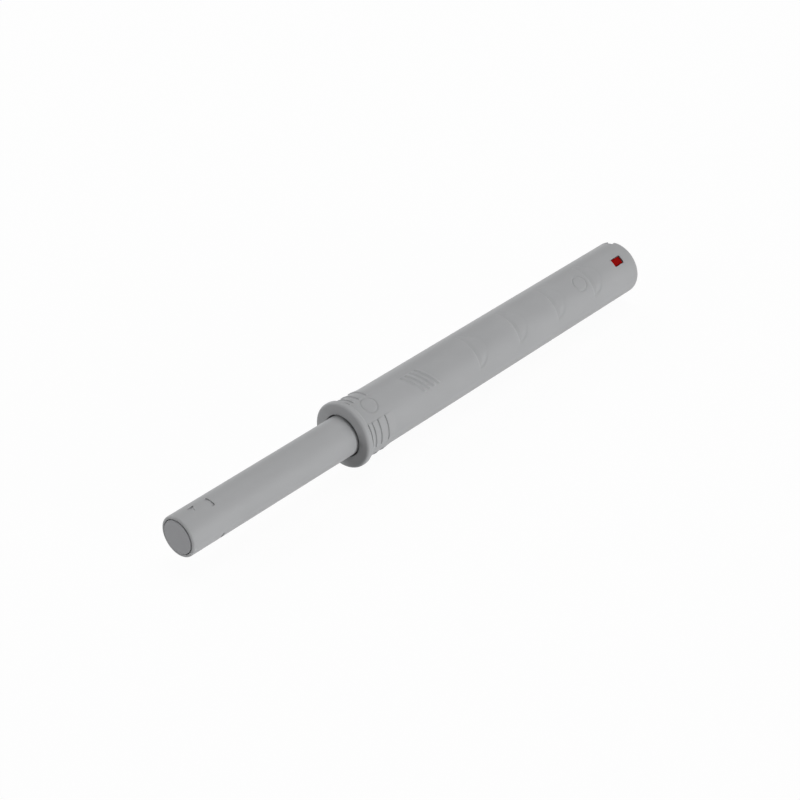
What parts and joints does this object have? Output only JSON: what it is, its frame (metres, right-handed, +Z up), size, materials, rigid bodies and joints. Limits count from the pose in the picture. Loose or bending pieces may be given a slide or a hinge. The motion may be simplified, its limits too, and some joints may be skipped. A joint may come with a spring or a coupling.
{
  "type": "push to open catch",
  "caption": "Slim round push-to-open catch: a sprung plunger in a barbed sleeve with a collar, pressed into a drilled hole behind a cabinet door.",
  "frame": {"origin": "on the sleeve's axis, in the collar's seat face that lies on the panel", "axes": "+Y along the axis into the panel, +Z up; the plunger points to -Y"},
  "size_m": [0.0114, 0.1092, 0.0114],
  "materials": {
    "grey_plastic": "satin light grey moulding",
    "buffer_grey": "matt grey soft buffer",
    "pale_plastic": "natural white acetal",
    "red_plastic": "red moulding",
    "dark_rubber": "soft stop ring",
    "spring_steel": "drawn spring wire"
  },
  "bodies": {
    "housing": {"sleeve": "grey_plastic", "stop_ring": "dark_rubber", "return_spring": "spring_steel", "latch_carrier": "red_plastic", "follower_spring": "spring_steel"},
    "carriage": {"carriage": "pale_plastic"},
    "click_ring": {"click_ring": "pale_plastic"},
    "plunger": {"plunger_tube": "grey_plastic", "end_buffer": "buffer_grey"},
    "follower": {"latch_follower": "spring_steel"}
  },
  "joints": [
    {"name": "press", "type": "slide", "parent": "housing", "child": "carriage", "axis": [0, 1, 0], "range_m": [0, 0.035], "stiffness_N_per_m": 150, "springref_m": -0.01, "deforming": ["return_spring"]},
    {"name": "gap_adjust", "type": "slide", "parent": "carriage", "child": "click_ring", "axis": [0, -1, 0], "range_m": [-0.001, 0.003]},
    {"name": "plunger_turn", "type": "hinge", "parent": "click_ring", "child": "plunger", "pos_m": [0, 0, 0], "axis": [0, -1, 0], "range_deg": [-180, 540]},
    {"name": "follower_swing", "type": "hinge", "parent": "housing", "child": "follower", "pos_m": [0, 0.066, 0], "axis": [0, 0, 1], "range_deg": [0, 11.8]}
  ],
  "couplings": [
    {"joint": "plunger_turn", "follows": "gap_adjust", "rad_per_m": 3141.6}
  ]
}
